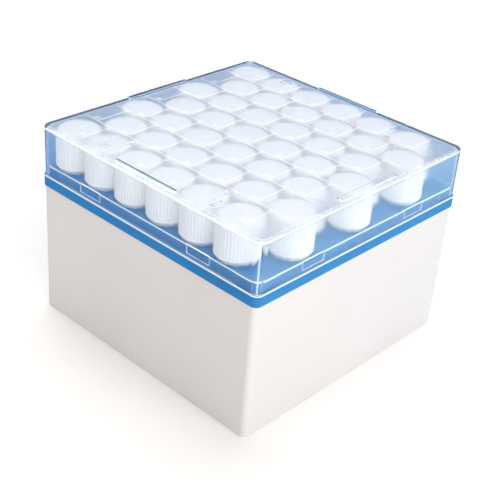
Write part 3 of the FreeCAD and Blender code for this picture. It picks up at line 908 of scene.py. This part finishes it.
class TUBEBOX_OT_lid_print(Operator):
    """Prints the white grid and its numbers on the lid"""

    bl_idname = "tube_box.lid_print"
    bl_label = "Lid print"

    def execute(self, context):
        sizes = context.scene.tube_box_print
        ink = moulded_plastic("lid_ink", sizes.colour, 0.5, clouds=0.03, grain=(0.3 * MM, 0.01 * MM))
        tree = printed_lines_tree()
        half = sizes.ink_thickness / 2
        height = LID_FACE + half
        grid = mesh_object("lid_grid", bmesh.new())

        def print_lines(count, start, step, line):
            run_nodes(grid, tree, {
                "Count": count, "Start": (*start, height), "Step": (*step, 0.0),
                "Line": (*line, sizes.ink_thickness), "Material": ink,
            })

        long_line = sizes.right_end - sizes.left_end
        print_lines(
            ROWS - 1, ((sizes.left_end + sizes.right_end) / 2, sizes.first_line), (0.0, -sizes.row_pitch),
            (long_line, sizes.line_width),
        )
        for row in range(ROWS):
            back = sizes.back_end if row == 0 else sizes.first_line - (row - 1) * sizes.row_pitch
            front = sizes.front_end if row == ROWS - 1 else sizes.first_line - row * sizes.row_pitch
            gaps = (row > 0) + (row < ROWS - 1)
            short_line = back - front - sizes.line_width * gaps / 2
            centre = (back + front) / 2 + sizes.line_width / 4 * ((row < ROWS - 1) - (row > 0))
            first = sizes.even_tick if row % 2 else sizes.odd_tick
            print_lines(COLUMNS, (first, centre), (sizes.column_pitch, 0.0), (sizes.line_width, short_line))
        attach(grid, "lid")

        numbers = self.numbers(sizes, ink)
        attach(numbers, "lid")
        return {"FINISHED"}

    def numbers(self, sizes, ink):
        """One mesh with every cell's number, read from the front."""
        shape = bmesh.new()
        for cell in range(ROWS * COLUMNS):
            row, column = divmod(cell, COLUMNS)
            text = bpy.data.curves.new("number", "FONT")
            text.body = str(cell + 1)
            text.align_x = "RIGHT"
            text.resolution_u = 2
            text.size = sizes.digit_height / FONT_HEIGHT
            text.extrude = sizes.ink_thickness / 2
            text.offset = sizes.stroke
            holder = bpy.data.objects.new("number", text)
            bpy.context.scene.collection.objects.link(holder)
            bpy.context.view_layer.update()
            graph = bpy.context.evaluated_depsgraph_get()
            mesh = bpy.data.meshes.new_from_object(holder.evaluated_get(graph))
            tick = (sizes.even_tick if row % 2 else sizes.odd_tick) + column * sizes.column_pitch
            right = min(tick, sizes.right_end) - sizes.number_gap
            line = sizes.first_line - row * sizes.row_pitch if row < ROWS - 1 else sizes.front_end
            foot = line + sizes.number_gap
            # in the last row these two numbers stand at the back of their cells
            if row == ROWS - 1 and column in (1, COLUMNS - 2):
                foot = sizes.first_line - (row - 1) * sizes.row_pitch - sizes.number_gap - sizes.digit_height
            mesh.transform(Matrix.Translation((right, foot, LID_FACE + sizes.ink_thickness / 2)))
            shape.from_mesh(mesh)
            bpy.data.objects.remove(holder)
            bpy.data.curves.remove(text)
            bpy.data.meshes.remove(mesh)
        bmesh.ops.remove_doubles(shape, verts=shape.verts, dist=WELD)
        bmesh.ops.recalc_face_normals(shape, faces=shape.faces)
        return mesh_object("lid_numbers", shape, ink)


class TUBEBOX_OT_caps(Operator):
    """Turns the ribbed caps and sets them out over the tubes"""

    bl_idname = "tube_box.caps"
    bl_label = "Caps"

    def execute(self, context):
        sizes = context.scene.tube_box_caps
        satin = moulded_plastic(
            "cap_plastic", sizes.colour, sizes.roughness, clouds=0.03, grain=(0.5 * MM, 0.01 * MM),
            shade=("groove", sizes.groove_painted_shade), milky=sizes.milkiness_and_glow,
        )
        radius = sizes.diameter / 2
        turn = sizes.shoulder
        start = sizes.height - turn
        chamfer = 0.35 * MM
        low_ring = sizes.rim + 0.2 * MM
        high_ring = start - 0.5 * MM
        profile = [(0.0, 0.0), (radius - chamfer, 0.0), (radius, chamfer), (radius, sizes.rim)]
        profile += [(radius, low_ring), (radius, high_ring)]
        profile += [
            (radius - turn * (1 - math.cos(a)), start + turn * math.sin(a))
            for a in (math.radians(degrees) for degrees in (12, 40, 65, 90))
        ]
        profile.append((0.0, sizes.height))
        sides = 4 * sizes.ribs  # for each rib, two corners stay out and two go in
        side_radius = 0.97 * radius  # what lies inside this isn't cut
        caps = mesh_object("caps_ribbed", lathe(profile, sides), smooth=True)
        run_nodes(caps, cap_rows_tree(), {
            "Ribs": sizes.ribs, "Rib depth": sizes.rib_depth, "Rib start": low_ring - MARGIN,
            "Rib end": high_ring + MARGIN, "Side radius": side_radius, "Columns": COLUMNS, "Rows": ROWS,
            "Column pitch": COLUMN_PITCH, "Row pitch": ROW_PITCH, "Stagger": STAGGER,
            "Middle": (0.0, 0.0, CAP_LOW.z), "Material": satin,
        })
        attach(caps, "box")
        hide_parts(*CAPS)
        return {"FINISHED"}


class TUBEBOX_OT_studio(Operator):
    """Sets up the pale floor, the soft studio light and the camera"""

    bl_idname = "tube_box.studio"
    bl_label = "Studio"

    def execute(self, context):
        settings = context.scene.tube_box_studio
        shape = bmesh.new()
        bmesh.ops.create_grid(shape, x_segments=1, y_segments=1, size=settings.floor_size / 2)
        paper = moulded_plastic(
            "floor_paper", settings.floor_colour, 0.9, clouds=0.01, grain=(2 * MM, 0.01 * MM)
        )
        floor = mesh_object("floor", shape, paper)
        self.show_ground(paper.node_tree, settings)
        self.light(context, settings)
        self.camera(context, settings)
        context.scene.view_settings.view_transform = "Standard"
        return {"FINISHED"}

    def show_ground(self, tree, settings):
        """The floor is pale, but clear plastic lets through, and gloss mirrors, the photo's blue ground."""
        shader = next(node for node in tree.nodes if node.type == "BSDF_PRINCIPLED")
        pale = shader.inputs["Base Color"].links[0].from_socket
        path = tree.nodes.new("ShaderNodeLightPath").outputs
        # painted light: the blue ground is lighter on the right, towards the side box
        painted_light_to_right = ramp(tree, parts_of(tree, object_place(tree))["X"], *GROUND_TURN, smooth=True)
        # painted reflection: glossy rays see that lit ground lighter still
        bright = blend_colours(tree, path["Is Glossy Ray"], settings.painted_lit_ground, settings.painted_reflection_ground)
        blue = blend_colours(tree, painted_light_to_right, settings.ground_colour, bright)
        indirect = largest(tree, path["Is Glossy Ray"], path["Is Transmission Ray"])
        tree.links.new(blend_colours(tree, indirect, pale, blue), shader.inputs["Base Color"])

    def light(self, context, settings):
        """A pale room with soft boxes above and on the right, warmer on the left, and a blue backdrop."""
        world = bpy.data.worlds.new("studio")
        world.use_nodes = True
        tree = world.node_tree
        tree.nodes.clear()
        output = tree.nodes.new("ShaderNodeOutputWorld")
        sky = tree.nodes.new("ShaderNodeBackground")
        way = tree.nodes.new("ShaderNodeTexCoord").outputs["Generated"]

        def patch(direction, full, faded):
            """1 within an angle round a direction, and 0 from a wider one on."""
            facing = dot_product(tree, way, Vector(direction).normalized())
            return ramp(
                tree, facing, math.cos(math.radians(faded)), math.cos(math.radians(full)), smooth=True
            )

        back_box = patch((-0.33, 0.38, 0.866), 15.0, 35.0)
        side_box = patch((0.86, -0.22, 0.46), 20.0, 45.0)
        warm_side = patch((-0.55, -0.80, 0.1), 35.0, 75.0)
        backdrop = patch((-0.65, 0.74, 0.17), 14.0, 28.0)
        strength = math_node(tree, "MULTIPLY_ADD", back_box, settings.back_box, settings.ambient)
        strength = math_node(tree, "MULTIPLY_ADD", side_box, settings.side_box, strength)
        strength = math_node(tree, "MULTIPLY_ADD", backdrop, settings.backdrop, strength)
        tone = blend_colours(tree, warm_side, (1.0, 1.0, 1.0), settings.warm_side)
        join(
            tree,
            (blend_colours(tree, backdrop, tone, settings.ground_colour), sky.inputs["Color"]),
            (strength, sky.inputs["Strength"]),
            (sky.outputs[0], output.inputs["Surface"]),
        )
        context.scene.world = world

    def camera(self, context, settings):
        """The photograph's viewing angle."""
        az, el, roll = settings.azimuth, settings.elevation, settings.roll
        back = Vector((math.sin(az) * math.cos(el), -math.cos(az) * math.cos(el), math.sin(el)))
        right = (-back).cross(Vector((0.0, 0.0, 1.0))).normalized()
        up = right.cross(-back)
        across = right * math.cos(roll) + up * math.sin(roll)
        upright = up * math.cos(roll) - right * math.sin(roll)
        data = bpy.data.cameras.new("camera")
        data.lens = settings.lens
        data.sensor_width = SENSOR_WIDTH
        data.clip_start = 0.01
        data.clip_end = 100.0
        camera = bpy.data.objects.new("camera", data)
        context.scene.collection.objects.link(camera)
        place = Vector(settings.target) + back * settings.distance
        turned = Matrix((across, upright, back)).transposed().to_4x4()
        camera.matrix_world = Matrix.Translation(place) @ turned
        context.scene.camera = camera


OPERATORS = (
    TUBEBOX_OT_base, TUBEBOX_OT_rack, TUBEBOX_OT_tubes, TUBEBOX_OT_caps, TUBEBOX_OT_lid, TUBEBOX_OT_lid_print,
    TUBEBOX_OT_studio,
)


class TUBEBOX_PT_panel(Panel):
    """Lists the pieces of the tube storage box"""

    bl_idname = "TUBEBOX_PT_panel"
    bl_label = "Tube storage box"
    bl_space_type = "VIEW_3D"
    bl_region_type = "UI"
    bl_category = "Tube box"

    def draw(self, context):
        for name, group in GROUPS.items():
            box = self.layout.box()
            box.label(text=group.__doc__.rstrip("."))
            for key in group.__annotations__:
                box.prop(getattr(context.scene, name), key)
        for operator in OPERATORS:
            self.layout.operator(operator.bl_idname)


def register():
    for cls in (*GROUPS.values(), *OPERATORS, TUBEBOX_PT_panel):
        bpy.utils.register_class(cls)
    for name, group in GROUPS.items():
        setattr(bpy.types.Scene, name, PointerProperty(type=group))


def unregister():
    for name in GROUPS:
        delattr(bpy.types.Scene, name)
    for cls in reversed((*GROUPS.values(), *OPERATORS, TUBEBOX_PT_panel)):
        bpy.utils.unregister_class(cls)


def main():
    """Builds every piece and the stage."""
    register()
    for operator in OPERATORS:
        group, name = operator.bl_idname.split(".")
        getattr(getattr(bpy.ops, group), name)()


if __name__ == "__main__":
    main()
